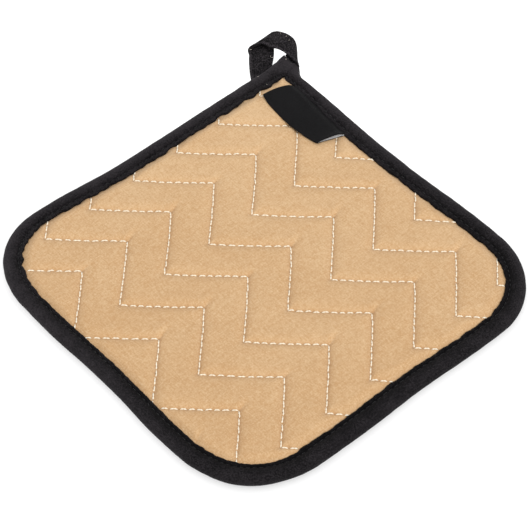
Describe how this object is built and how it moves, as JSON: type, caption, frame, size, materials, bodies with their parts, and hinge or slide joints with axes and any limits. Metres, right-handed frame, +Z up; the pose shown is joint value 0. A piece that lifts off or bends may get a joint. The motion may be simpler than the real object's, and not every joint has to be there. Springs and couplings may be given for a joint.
{
  "type": "pot holder",
  "caption": "Square quilted tan cotton pot holder with chevron stitching, black tape binding, a folded hanging loop at one corner and a bare black label.",
  "frame": {"origin": "middle of the pad's underside, on the surface that it lies on", "axes": "+Y from the middle to the corner that carries the hanging loop, +Z up, +X to the corner on the right"},
  "size_m": [0.2577, 0.2885, 0.014],
  "materials": {
    "tan_cloth": "matt woven cotton",
    "black_tape": "matt woven tape",
    "black_label": "smooth woven label"
  },
  "bodies": {
    "root": {"quilted_pad": "tan_cloth", "binding": "black_tape", "hanging_loop": "black_tape", "label": "black_label"}
  },
  "joints": []
}
